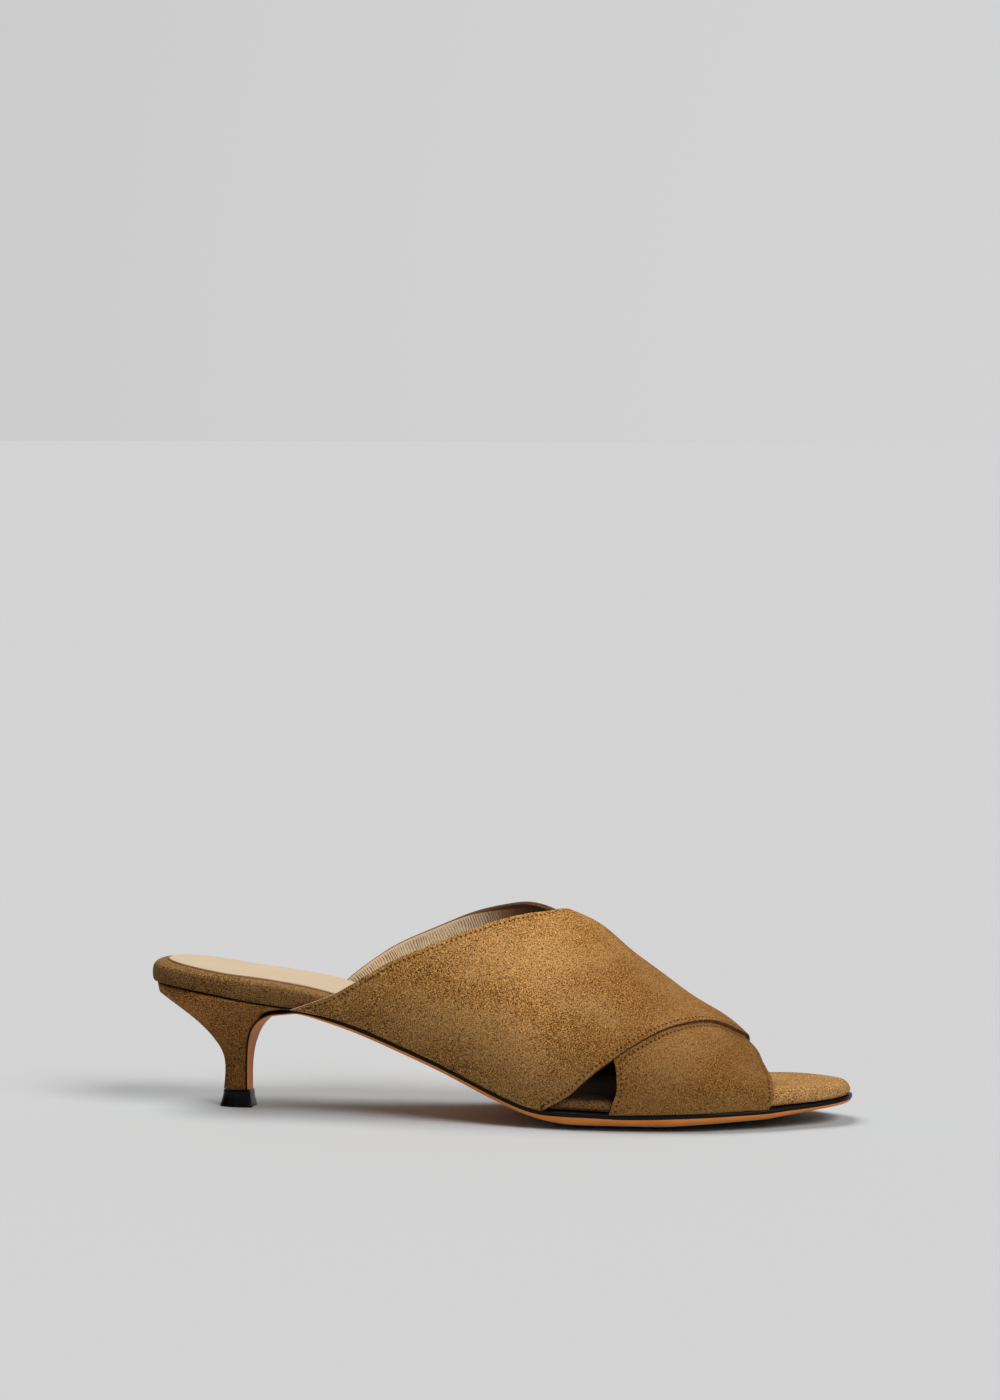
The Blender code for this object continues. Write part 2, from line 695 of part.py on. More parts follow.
def make_heel():
    """Curved heel block with its lip run out under the waist."""
    breast = breast_line()
    sections = []
    for i, row in enumerate(HEEL):
        front = breast[i + 1] - facing(breast, i + 1) * GAP
        back = Vector((row.back_x * SEAT_LENGTH, heel_rise(row.back_z)))
        if i == 0:
            back.x = SEAT_BACK_INSET
            height = lambda x: feather(x) - GAP
        else:
            slope = (front.y - back.y) / (front.x - back.x)
            height = lambda x, back=back, slope=slope: back.y + slope * (x - back.x)
        half = row.half * SEAT_HALF_WIDTH
        front_half = row.front_half * SEAT_HALF_WIDTH
        sections.append(d_section(back.x, front.x, half, front_half, row.rounding, height))
    return loft("heel", sections)


def make_heel_tip():
    """Top piece under the heel: flared to its flat foot."""
    sections = []
    for row in TIP:
        half = TIP_NECK_HALF_WIDTH + (TIP_FOOT_HALF_WIDTH - TIP_NECK_HALF_WIDTH) * row.flare
        length = TIP_NECK_LENGTH + (TIP_FOOT_LENGTH - TIP_NECK_LENGTH) * row.flare
        front = TIP_FRONT + TIP_TOE_FLARE * row.flare
        front_half = half * TIP_FRONT_SHARE
        level = TIP_HEIGHT * row.rise
        section = d_section(
            front - length, front, half, front_half, TIP_ROUND_SHARE, lambda x, z=level: z)
        sections.append(section)
    return loft("heel_tip", sections)


def finish(obj, frame, collection, colour, roughness):
    """Material, collection and parent of one finished piece."""
    material = bpy.data.materials.new(obj.name)
    material.use_nodes = True
    shader = material.node_tree.nodes["Principled BSDF"]
    shader.inputs["Base Color"].default_value = (*colour, 1.0)
    shader.inputs["Roughness"].default_value = roughness
    shader.inputs["Metallic"].default_value = 0.0
    obj.data.materials.append(material)
    collection.objects.link(obj)
    obj.parent = frame


def main():
    for obj in list(bpy.data.objects):
        bpy.data.objects.remove(obj, do_unlink=True)
    parts = bpy.data.collections.new("kitten_heel_mule")
    cutters = bpy.data.collections.new("cutters")
    bpy.context.scene.collection.children.link(parts)
    bpy.context.scene.collection.children.link(cutters)

    outsole = make_outsole()
    footbed = make_footbed()
    points = [vertex.co for piece in (outsole, footbed) for vertex in piece.data.vertices]
    low = [min(point[axis] for point in points) for axis in (0, 1)]
    high = [max(point[axis] for point in points) for axis in (0, 1)]
    frame = bpy.data.objects.new("shoe_frame", None)
    frame.location = (-(low[0] + high[0]) / 2.0, -(low[1] + high[1]) / 2.0, 0.0)
    parts.objects.link(frame)

    suede = (0.24, 0.13, 0.055)
    finish(outsole, frame, parts, (0.54, 0.25, 0.09), 0.5)
    finish(footbed, frame, parts, suede, 0.95)
    finish(make_sock_lining(), frame, parts, (0.73, 0.55, 0.36), 0.6)
    finish(make_heel(), frame, parts, suede, 0.95)
    finish(make_heel_tip(), frame, parts, (0.01, 0.01, 0.011), 0.25)

    under = make_strap("under_strap", back_on_lateral=False, over=False)
    finish(under, frame, cutters, suede, 0.95)
    under.hide_render = True
    under.display_type = "WIRE"
    upper = make_strap("upper", back_on_lateral=True, over=True)
    join = upper.modifiers.new("crossing", "BOOLEAN")
    join.operation = "UNION"
    join.solver = "EXACT"
    join.object = under
    finish(upper, frame, parts, suede, 0.95)


main()
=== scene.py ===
# %% [markdown]
# # A kitten heel mule in suede
# The shoe arrives as six plain solids: outsole, footbed, sock lining, upper, heel and top piece.
# They already have the true shape of the last, so this lesson keeps their forms, draws a finer
# skin over each from a copy of it, and then gives every skin the finish of its leather.

# %% Load the shoe's solids
from math import cos, pi, radians, sin

import bmesh
import bpy
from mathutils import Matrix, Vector
from mathutils.bvhtree import BVHTree
from mathutils.kdtree import KDTree


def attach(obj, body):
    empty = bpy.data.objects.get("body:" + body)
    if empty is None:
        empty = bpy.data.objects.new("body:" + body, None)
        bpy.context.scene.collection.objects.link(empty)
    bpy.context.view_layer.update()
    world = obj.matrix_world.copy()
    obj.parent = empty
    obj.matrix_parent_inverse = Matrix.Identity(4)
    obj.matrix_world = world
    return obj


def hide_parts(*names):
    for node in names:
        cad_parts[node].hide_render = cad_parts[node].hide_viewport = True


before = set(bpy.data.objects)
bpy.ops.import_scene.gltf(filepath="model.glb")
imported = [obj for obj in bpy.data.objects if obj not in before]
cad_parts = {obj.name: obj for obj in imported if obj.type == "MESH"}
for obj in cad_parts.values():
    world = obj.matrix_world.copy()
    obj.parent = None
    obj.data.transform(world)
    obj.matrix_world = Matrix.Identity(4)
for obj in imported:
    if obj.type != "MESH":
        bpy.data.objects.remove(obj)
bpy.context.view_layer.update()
bpy.ops.object.select_all(action="DESELECT")
scene = bpy.context.scene
print("solids:", sorted(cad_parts))

# %% [markdown]
# ## Camera
# The photo looks at the outer side of the right shoe through a long lens, from a little in front
# and a little above. Azimuth and pitch place the camera on a ball round the point it aims at.
# The sensor's upright side is 36 mm, because the picture stands upright.

# %% Stand the camera where the photo was taken
VIEW_AZIMUTH = radians(11.0)
VIEW_PITCH = radians(3.5)
VIEW_DISTANCE = 1.7
LENS_MM = 124.5
AIM = Vector((0.00075, -0.0002, 0.146))

away = Vector((
    sin(VIEW_AZIMUTH) * cos(VIEW_PITCH),
    -cos(VIEW_AZIMUTH) * cos(VIEW_PITCH),
    sin(VIEW_PITCH),
))
bpy.ops.object.camera_add(location=AIM + away * VIEW_DISTANCE)
camera = bpy.context.object
camera.rotation_euler = away.to_track_quat("Z", "Y").to_euler()
camera.data.sensor_fit = "VERTICAL"
camera.data.sensor_height = 36.0
camera.data.lens = LENS_MM
scene.camera = camera
print("camera at", [round(v, 3) for v in camera.location])

# %% [markdown]
# ## Shader sums
# A material reads best as a sum, such as `grain * 0.4 + patches`. `Wire` holds one output of a
# node and adds a Math node for each sign used on it. `Recipe` makes any other node from its
# type, its settings and what goes into its sockets, and `Finish` is the recipe of one material.

# %% Wires that can be added, and recipes made of them
class Wire:
    """One output of a shader node, ready for sums."""

    def __init__(self, socket):
        self.socket = socket

    def sum(self, operation, first, second):
        tree = self.socket.id_data
        node = tree.nodes.new("ShaderNodeMath")
        node.operation = operation
        for slot, value in zip(node.inputs, (first, second)):
            if isinstance(value, Wire):
                tree.links.new(value.socket, slot)
            else:
                slot.default_value = value
        return Wire(node.outputs[0])

    def __add__(self, other):
        return self.sum("ADD", self, other)

    def __radd__(self, other):
        return self.sum("ADD", other, self)

    def __sub__(self, other):
        return self.sum("SUBTRACT", self, other)

    def __rsub__(self, other):
        return self.sum("SUBTRACT", other, self)

    def __mul__(self, other):
        return self.sum("MULTIPLY", self, other)

    def __rmul__(self, other):
        return self.sum("MULTIPLY", other, self)

    def __truediv__(self, other):
        return self.sum("DIVIDE", self, other)

    def __rtruediv__(self, other):
        return self.sum("DIVIDE", other, self)

    def __pow__(self, other):
        return self.sum("POWER", self, other)

    def __rpow__(self, other):
        return self.sum("POWER", other, self)


class Recipe:
    """Nodes of one tree, with the shader they end in at hand."""

    def __init__(self, owner, shader):
        owner.use_nodes = True
        self.tree = owner.node_tree
        self.shader = self.tree.nodes[shader]

    def node(self, kind, settings=None, sockets=None, out=0):
        """Any node: its type, its settings, and a value or a wire for each socket."""
        made = self.tree.nodes.new(kind)
        for key, value in (settings or {}).items():
            setattr(made, key, value)
        for key, value in (sockets or {}).items():
            if isinstance(value, Wire):
                self.tree.links.new(value.socket, made.inputs[key])
            else:
                made.inputs[key].default_value = value
        return Wire(made.outputs[out])

    def put(self, socket, value):
        """Set or link a socket of the shader."""
        if isinstance(value, Wire):
            self.tree.links.new(value.socket, self.shader.inputs[socket])
        else:
            self.shader.inputs[socket].default_value = value


class Finish(Recipe):
    """Recipe of one material, with the object's own space at hand."""

    def __init__(self, name):
        self.material = bpy.data.materials.new(name)
        super().__init__(self.material, "Principled BSDF")
        self.place = self.node("ShaderNodeTexCoord", out="Object")


print("recipes ready")

# %% [markdown]
# ## Words for patterns
# Leather is described with a few patterns: clouds of noise in the object's own space, a soft
# step between two values, and a mix of two colours. Each becomes a short helper, so that a
# finish further down reads like a recipe.

# %% Noise, steps, colour mixes and bumps
def hue(red, green, blue):
    """Linear colour from the values an image editor shows, 0 to 255."""
    def linear(value):
        value /= 255.0
        return value / 12.92 if value <= 0.04045 else ((value + 0.055) / 1.055) ** 2.4
    return (linear(red), linear(green), linear(blue), 1.0)


def clouds(finish, size, detail=2.0, roughness=0.5, stretch=(1.0, 1.0, 1.0)):
    """Noise about 0.5, with clouds of a size in metres, drawn out along some axes."""
    place = finish.node(
        "ShaderNodeMapping",
        sockets={"Vector": finish.place, "Scale": tuple(1.0 / s for s in stretch)},
    )
    sockets = {"Vector": place, "Scale": 1.0 / size, "Detail": detail, "Roughness": roughness}
    return finish.node("ShaderNodeTexNoise", {"noise_dimensions": "3D"}, sockets)


def step(finish, value, low, high):
    """0 below low, 1 above high, soft between. Low may lie above high."""
    return finish.node(
        "ShaderNodeMapRange",
        {"interpolation_type": "SMOOTHSTEP"},
        {"Value": value, "From Min": low, "From Max": high},
    )


def mixed(finish, share, first, second):
    """Colour between two colours."""
    return finish.node(
        "ShaderNodeMix",
        {"data_type": "RGBA", "blend_type": "MIX"},
        {0: share, 6: first, 7: second},
        out=2,
    )


def bump(finish, height, depth, normal=None):
    """Relief with a depth in metres for a height of 1."""
    sockets = {"Height": height, "Distance": depth, "Strength": 1.0}
    if normal is not None:
        sockets["Normal"] = normal
    return finish.node("ShaderNodeBump", sockets=sockets)


def attribute(finish, name):
    """A number painted on the mesh."""
    return finish.node("ShaderNodeAttribute", {"attribute_name": name}, out="Fac")


print("patterns ready")

# %% [markdown]
# ## Floor and studio light
# The shoe stands in a pale studio with no corner in it. A wide floor meets an even wall of
# nearly the same brightness, a shade darker than the floor, so the horizon stays a faint line
# far above the shoe. The room is dim on the camera's side, which gives the
# straps their shape. One broad lamp from in front of the toe lays the soft shadow that runs
# back under the arch and behind the heel, and a second one from over the seat lights the
# sock, the lining and the crown of the straps. The tan sole throws warm light on the floor
# under it, so the floor is tinted a little cooler there.

# %% Lay the floor and light the studio
FLOOR_SIZE = 60.0
FLOOR_ALBEDO = 0.582
UNDER_SHOE = (0.14, 0.05)
COOL_TINT = (0.96, 1.0, 1.02)
WALL_LIGHT = 0.660
FRONT_LIGHT = 0.22
OVERHEAD_LIGHT = 0.12
LAMPS = (
    ("key_lamp", Vector((0.58, -0.46, 0.64)), 1.95, radians(30.0)),
    ("seat_lamp", Vector((-0.32, 0.14, 0.94)), 1.95, radians(40.0)),
)

bpy.ops.mesh.primitive_plane_add(size=FLOOR_SIZE, location=(0.0, 0.0, 0.0))
floor = bpy.context.object
floor.name = "studio_floor"
floor_finish = Finish("studio_floor")
reach = floor_finish.node(
    "ShaderNodeVectorMath",
    {"operation": "MULTIPLY"},
    {0: floor_finish.place, 1: (1.0 / UNDER_SHOE[0], 1.0 / UNDER_SHOE[1], 0.0)},
)
distance = floor_finish.node(
    "ShaderNodeVectorMath",
    {"operation": "LENGTH"},
    {0: reach},
    out="Value",
)
cool = step(floor_finish, distance, 1.35, 0.55)
plain = (FLOOR_ALBEDO, FLOOR_ALBEDO, FLOOR_ALBEDO, 1.0)
cooled = tuple(FLOOR_ALBEDO * share for share in COOL_TINT) + (1.0,)
floor_finish.put("Base Color", mixed(floor_finish, cool, plain, cooled))
floor_finish.put("Roughness", 1.0)
floor_finish.put("Specular IOR Level", 0.0)
floor.data.materials.append(floor_finish.material)

world = bpy.data.worlds.new("studio")
room = Recipe(world, "Background")
outlook = room.node("ShaderNodeTexCoord", out="Generated")
depthwise = room.node("ShaderNodeSeparateXYZ", sockets={0: outlook}, out="Y")
upwards = room.node("ShaderNodeSeparateXYZ", sockets={0: outlook}, out="Z")
behind = room.node("ShaderNodeMath", {"operation": "MAXIMUM"}, {0: depthwise, 1: 0.0})
overhead = step(room, upwards, 0.35, 0.90)
room.put("Color", (1.0, 1.0, 1.0, 1.0))
front = room.node("ShaderNodeMath", {"operation": "MAXIMUM"}, {0: depthwise * -1.0, 1: 0.0})
walls = behind * behind * WALL_LIGHT + front * front * FRONT_LIGHT
room.put("Strength", (1.0 - overhead) * walls + overhead * OVERHEAD_LIGHT)
scene.world = world

for name, direction, strength, softness in LAMPS:
    bpy.ops.object.light_add(type="SUN", location=direction)
    lamp = bpy.context.object
    lamp.name = name
    lamp.data.energy = strength
    lamp.data.angle = softness
    lamp.rotation_euler = direction.to_track_quat("Z", "Y").to_euler()
scene.view_settings.view_transform = "Standard"
print("floor and light set")

# %% [markdown]
# ## A skin over a solid
# A solid is loose triangles, good for measuring and coarse for looking at. A copy of it is
# merged, its triangles are paired back into the quads they were cut from, its corners are
# creased, and a subdivision surface rounds the rest. The solid stays behind for the physics,
# and the skin stands in for it.

# %% Copy, merge, pair and subdivide
MERGE_DISTANCE = 1e-6
CORNER_ANGLE = radians(38.0)


def edit(piece):
    """Make one piece active and open it in edit mode with nothing selected."""
    bpy.ops.object.select_all(action="DESELECT")
    bpy.context.view_layer.objects.active = piece
    piece.select_set(True)
    bpy.ops.object.mode_set(mode="EDIT")
    bpy.ops.mesh.select_mode(type="FACE")
    bpy.ops.mesh.select_all(action="DESELECT")


def close_edit():
    """Leave edit mode."""
    bpy.ops.object.mode_set(mode="OBJECT")


def start_skin(node, name):
    """Merged copy of a solid with its quads restored."""
    skin = bpy.data.objects.new(name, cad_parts[node].data.copy())
    scene.collection.objects.link(skin)
    skin.data.materials.clear()
    edit(skin)
    bpy.ops.mesh.select_all(action="SELECT")
    bpy.ops.mesh.remove_doubles(threshold=MERGE_DISTANCE)
    bpy.ops.mesh.tris_convert_to_quads(face_threshold=radians(40.0), shape_threshold=pi)
    close_edit()
    return skin


def crease_corners(skin, crease):
    """Crease every edge where two faces meet sharply."""
    edit(skin)
    bpy.ops.mesh.select_mode(type="EDGE")
    bpy.ops.mesh.edges_select_sharp(sharpness=CORNER_ANGLE)
    bpy.ops.transform.edge_crease(value=crease)
    close_edit()


def subdivide(skin, levels):
    """Round the skin with a subdivision surface and apply it."""
    bpy.context.view_layer.objects.active = skin
    rounding = skin.modifiers.new("rounding", "SUBSURF")
    rounding.levels = levels
    rounding.render_levels = levels
    bpy.ops.object.modifier_apply(modifier=rounding.name)


def hand_over(skin, node, finishes):
    """Dress a skin, and let it stand for its solid."""
    for finish in finishes:
        skin.data.materials.append(finish.material)
    edit(skin)
    bpy.ops.mesh.select_all(action="SELECT")
    bpy.ops.mesh.faces_shade_smooth()
    close_edit()
    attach(skin, "root")
    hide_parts(node)
    print(skin.name, len(skin.data.polygons), "faces")


print("skin helpers ready")

# %% [markdown]
# ## Suede
# Suede is the flesh side of a split hide, brushed to a short nap. From near it is a field of
# tiny tufts, light at their tips and dark between, and from further off it shows cloudy patches
# where the nap was stroked one way or the other. So the colour is mixed from three sizes of
# noise. The two finer ones also lift the surface, and their lows and highs are drawn out as
# dark pits and pale tips.

# %% Mix the suede
TUFT = 0.00042
CLUMP = 0.0008
STROKE = 0.022
PIT_SHADE = 0.30
TIP_LIGHT = (1.35, 1.48, 1.75)


def times(finish, colour, factor):
    """Colour made lighter or darker by a factor."""
    return finish.node("ShaderNodeVectorMath", {"operation": "SCALE"}, {0: colour, "Scale": factor})


def suede(name, shade, light, worn, tuft_depth=0.00012):
    """Brushed suede between a shade and a light colour, worn paler in strokes."""
    finish = Finish(name)
    tufts = clouds(finish, TUFT, detail=1.5, roughness=0.6)
    clumps = clouds(finish, CLUMP, detail=2.0, roughness=0.6)
    strokes = clouds(finish, STROKE, detail=4.0, roughness=0.55, stretch=(1.7, 1.0, 0.8))
    nap = tufts * 0.84 + clumps * 0.16
    colour = mixed(finish, step(finish, nap, 0.38, 0.62), shade, light)
    brushed = step(finish, strokes, 0.40, 0.62)
    colour = mixed(finish, brushed * 0.42, colour, worn)
    pits = step(finish, nap, 0.45, 0.34)
    dark = tuple(c * PIT_SHADE for c in shade[:3]) + (1.0,)
    colour = mixed(finish, pits, colour, dark)
    tips = step(finish, nap, 0.55, 0.66)
    pale = tuple(c * gain for c, gain in zip(light, TIP_LIGHT)) + (1.0,)
    colour = mixed(finish, tips * 0.9, colour, pale)
    finish.put("Base Color", colour)
    finish.put("Roughness", 0.95)
    finish.put("Specular IOR Level", 0.08)
    finish.put("Normal", bump(finish, nap, tuft_depth))
    return finish


strap_suede = suede("strap_suede", hue(102, 62, 20), hue(184, 134, 74), hue(190, 146, 92))
bed_suede = suede("footbed_suede", hue(92, 58, 24), hue(170, 126, 72), hue(176, 134, 84))
# The heel's suede is given darker colours than the straps' suede, as painted shade.
heel_suede_in_painted_shade = suede("heel_suede_in_painted_shade", hue(62, 34, 10), hue(160, 110, 58), hue(146, 100, 52))
print("suede mixed")

# %% [markdown]
# ## The upper
# Two straps are closed over each other across the instep. The outer side of each is suede, the
# inner side is a thin beige lining, and the cut edge between them shows both. The skin's faces
# fall into patches between its sharp corners, and a patch's shape tells what it is: a long
# ribbon as thin as the wall is a cut edge, and of the rest, those that face away from the foot
# are suede and those that face it are lining.

# %% Sort the upper's faces into suede, lining and cut edge
SUEDE, LINING, EDGE = 0, 1, 2
RIBBON_WIDTH = 0.0022


def patches(bm):
    """Groups of faces joined over soft edges."""
    left = set(bm.faces)
    while left:
        group = [left.pop()]
        for face in group:
            for edge in face.edges:
                if len(edge.link_faces) == 2 and edge.calc_face_angle() < CORNER_ANGLE:
                    for near in edge.link_faces:
                        if near in left:
                            left.remove(near)
                            group.append(near)
        yield group


def sort_patch(group, bed_top):
    """Which finish a patch of the upper gets."""
    inside = set(group)
    area = sum(face.calc_area() for face in group)
    rim = sum(
        edge.calc_length() for face in group for edge in face.edges
        if any(near not in inside for near in edge.link_faces)
    )
    if 2.0 * area / rim < RIBBON_WIDTH:
        return EDGE
    facing = 0.0
    for face in group:
        middle = face.calc_center_median()
        outward = Vector((0.0, middle.y, middle.z - bed_top(middle.x)))
        facing += face.calc_area() * face.normal.dot(outward.normalized())
    return SUEDE if facing > 0.0 else LINING


bed_points = [v.co.copy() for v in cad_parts["footbed"].data.vertices]


def bed_top(x):
    """Height of the footbed near an x."""
    return max(p.z for p in bed_points if abs(p.x - x) < 0.008)


straps = start_skin("upper", "straps")
bm = bmesh.new()
bm.from_mesh(straps.data)
counts = [0, 0, 0]
for group in patches(bm):
    kind = sort_patch(group, bed_top)
    counts[kind] += 1
    for face in group:
        face.material_index = kind
bm.to_mesh(straps.data)
bm.free()
print("patches of suede, lining and edge:", counts)

# %% [markdown]
# ## Rounding the straps
# The corners between face and cut edge are creased, so that the straps keep their thickness
# when the surface is subdivided. The rims are noted down next, while they are still single
# edges, because the needle holes run beside them.

# %% Subdivide the straps and note their rims
RIM_BEVEL = 0.00028
FOOT_REACH = 0.0012

crease_corners(straps, 1.0)
subdivide(straps, 2)

sole_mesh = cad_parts["outsole"].data
sole_tree = BVHTree.FromPolygons(
    [v.co for v in sole_mesh.vertices], [p.vertices for p in sole_mesh.polygons])


def rim_chains(skin):
    """Runs of points along the rims of the suede, left open at the straps' feet."""
    bm = bmesh.new()
    bm.from_mesh(skin.data)
    links = {}
    for edge in bm.edges:
        kinds = sorted(face.material_index for face in edge.link_faces)
        if kinds == [SUEDE, EDGE]:
            ends = [v.co.copy() for v in edge.verts]
            if any(sole_tree.find_nearest(end)[3] > FOOT_REACH for end in ends):
                a, b = edge.verts[0].index, edge.verts[1].index
                links.setdefault(a, []).append(b)
                links.setdefault(b, []).append(a)
    places = {v.index: v.co.copy() for v in bm.verts}
    bm.free()
    chains = []
    while links:
        ends = [v for v, near in links.items() if len(near) == 1]
        here = ends[0] if ends else next(iter(links))
        chain = [places[here]]
        while links.get(here):
            after = links[here].pop()
            links[after].remove(here)
            if not links[here]:
                del links[here]
            chain.append(places[after])
            here = after
        links.pop(here, None)
        chains.append(chain)
    return [chain for chain in chains if len(chain) > 8]


rims = rim_chains(straps)
print("rims:", [len(chain) for chain in rims])

# %% [markdown]
# ## A soft corner on the cut edge
# A knife leaves no perfectly sharp corner in suede. With the rims noted, every sharp edge of
# the straps is bevelled by a quarter of a millimetre, which catches a thin line of light.

# %% Bevel the rims
edit(straps)
bpy.ops.mesh.select_mode(type="EDGE")
bpy.ops.mesh.edges_select_sharp(sharpness=radians(50.0))
bpy.ops.mesh.bevel(offset=RIM_BEVEL, offset_type="OFFSET", segments=2, affect="EDGES")
close_edit()
print("faces after the bevel:", len(straps.data.polygons))

# %% [markdown]
# ## Where the needle went
# A row of needle holes follows every rim, 1.6 mm in. For the shader to know where a point lies
# in that row, each vertex is given two numbers: how far it lies from the nearest rim, and how
# far along that rim. They change evenly over the faces, so the pattern stays crisp.

# %% Write the distances on the mesh
def rim_table(chains):
    """Rim points, each with its run, its place in the run and its distance along it."""
    table = []
    for number, chain in enumerate(chains):
        along = 0.0
        for i, point in enumerate(chain):
            if i:
                along += (point - chain[i - 1]).length
            table.append((point, number, i, along))
    return table


def nearest_on_rim(point, tree, table, chains):
    """Distance to the nearest rim, and how far along it that is."""
    best = (1.0, 0.0)
    _, index, _ = tree.find(point)
    _, number, i, _ = table[index]
    for j in (i - 1, i):
        if 0 <= j < len(chains[number]) - 1:
            start, end = chains[number][j], chains[number][j + 1]
            run = end - start
            share = min(max((point - start).dot(run) / run.length_squared, 0.0), 1.0)
            gap = (point - start.lerp(end, share)).length
            if gap < best[0]:
                begin = table[index - i + j][3]
                best = (gap, begin + share * run.length)
    return best


def write_rim_distances(skin, chains):
    """Store the two numbers as attributes of the skin."""
    table = rim_table(chains)
    tree = KDTree(len(table))
    for index, row in enumerate(table):
        tree.insert(row[0], index)
    tree.balance()
    away = skin.data.attributes.new("from_rim", "FLOAT", "POINT")
    along = skin.data.attributes.new("along_rim", "FLOAT", "POINT")
    for vertex in skin.data.vertices:
        gap, place = nearest_on_rim(vertex.co, tree, table, chains)
        away.data[vertex.index].value = gap
        along.data[vertex.index].value = place


def write_heights(skin):
    """Store how far each vertex lies from the outsole."""
    over = skin.data.attributes.new("over_sole", "FLOAT", "POINT")
    for vertex in skin.data.vertices:
        over.data[vertex.index].value = sole_tree.find_nearest(vertex.co)[3]


write_rim_distances(straps, rims)
write_heights(straps)
print("rim distances written")

# %% [markdown]
# ## Painted light and shade, and needle holes, in the suede
# The crown of the straps is painted lighter and the suede by the sole is painted in shade, and the
# suede is made darker and warmer toward the toe. The holes are small pits painted dark with shade,
# closer together than a hand would set them. Each is a disc about the point where a fixed distance
# from the rim meets a saw of the distance along it.

# %% Add the holes to the strap suede
HOLE_ROW = 0.0016
HOLE_PITCH = 0.0018
HOLE_RADIUS = 0.00040


def holes(finish):
    """1 in a needle hole, 0 outside."""
    turn = attribute(finish, "along_rim") / HOLE_PITCH
    saw = turn - finish.node("ShaderNodeMath", {"operation": "FLOOR"}, {0: turn}) - 0.5
    across = (attribute(finish, "from_rim") - HOLE_ROW) / HOLE_RADIUS
    along = saw * (HOLE_PITCH / HOLE_RADIUS)
    return step(finish, across * across + along * along, 1.4, 0.5)


def place_along(finish, low, high):
    """0 behind one place on the shoe's length, 1 in front of another, soft between."""
    along = finish.node("ShaderNodeSeparateXYZ", sockets={0: finish.place}, out="X")
    return step(finish, along, low, high)


def paint_light_and_shade_on_straps(finish):
    """Paint light on the crown of the straps and shade by the sole, and make the toe end darker and
    warmer.
    """
    crown = step(finish, attribute(finish, "over_sole"), 0.000, 0.038)
    ahead = place_along(finish, 0.012, 0.060)
    colour = Wire(finish.shader.inputs["Base Color"].links[0].from_socket)
    colour = mixed(finish, ahead * 0.30, colour, hue(128, 78, 26))
    # Painted light on the crown and painted shade low by the sole, darker still toward the toe.
    finish.put("Base Color", times(finish, colour, 0.61 + crown * 0.71 - ahead * crown * 0.36))


def add_holes(finish, depth):
    """Sink the needle holes of a finish and paint shade into them."""
    pits = holes(finish)
    shader = finish.shader
    colour = Wire(shader.inputs["Base Color"].links[0].from_socket)
    relief = Wire(shader.inputs["Normal"].links[0].from_socket)
    # Painted shade in the needle holes.
    finish.put("Base Color", mixed(finish, pits * 0.75, colour, hue(48, 28, 12)))
    finish.put("Normal", bump(finish, 1.0 - pits, depth, relief))


paint_light_and_shade_on_straps(strap_suede)
add_holes(strap_suede, 0.00025)
print("nap and needle holes laid")

# %% [markdown]
# ## Lining and cut edge
# The lining is thin beige leather. The hem draws it into small folds that run in from the rim,
# with painted shade in their troughs, and the lining is painted in shade toward the crossing and
# nearly black beyond it, where it shows through the side window. Along the rim a brown hem shows,
# hair-thin at the back and as wide as the wall near the crossing. The cut edge is dark suede, apart
# from the straps' tails and one short run by the side window, where the leather is left raw and pale.

# %% Mix the lining and the cut edge, and dress the straps
PUCKER_PITCH = 0.00100
PUCKER_DEPTH = 0.00020
HEM = (0.0004, 0.0018)
WALL = 0.0018


def into_lining(finish):
    """Distance from the lining's own rim, which lies a wall's thickness behind the suede's."""
    straight = attribute(finish, "from_rim")
    return (straight * straight - WALL * WALL + 1e-9) ** 0.5


def puckers(finish):
    """Soft folds that run in from the rim, where the hem draws the lining together."""
    wander = clouds(finish, 0.004, detail=2.0)
    turn = attribute(finish, "along_rim") / PUCKER_PITCH + wander * 2.2
    wave = finish.node("ShaderNodeMath", {"operation": "SINE"}, {0: turn * (2.0 * pi)}) * 0.5 + 0.5
    depth = into_lining(finish)
    near = step(finish, depth, 0.0005, 0.0020) * step(finish, depth, 0.0160, 0.0060)
    return wave * near * (0.55 + step(finish, wander, 0.40, 0.60) * 0.45)


lining = Finish("strap_lining")
lining_grain = clouds(lining, 0.0006, detail=3.0)
lining_tone = clouds(lining, 0.012)
lining_colour = mixed(lining, lining_tone, hue(255, 222, 176), hue(255, 236, 200))
# Painted shade: darker toward the crossing, and nearly black in front of it where the lining shows
# through the side window.
lining_colour = mixed(lining, place_along(lining, -0.018, 0.004), lining_colour, hue(120, 80, 44))
lining_colour = mixed(lining, place_along(lining, 0.000, 0.016), lining_colour, hue(46, 24, 10))
folds = puckers(lining)
# Painted shade in the troughs of the folds.
lining_colour = mixed(lining, folds * 0.62, lining_colour, hue(120, 80, 44))
crossing = place_along(lining, -0.024, 0.004)
hem_end = HEM[0] + crossing * (HEM[1] - HEM[0])
hem = step(lining, into_lining(lining) / hem_end, 1.1, 0.8)
hem_colour = mixed(lining, crossing, hue(150, 108, 70), hue(66, 40, 18))
lining_colour = mixed(lining, hem, lining_colour, hem_colour)
lining.put("Base Color", lining_colour)
lining.put("Roughness", 0.62)
lining.put("Normal", bump(lining, lining_grain * 0.25 - folds, PUCKER_DEPTH))

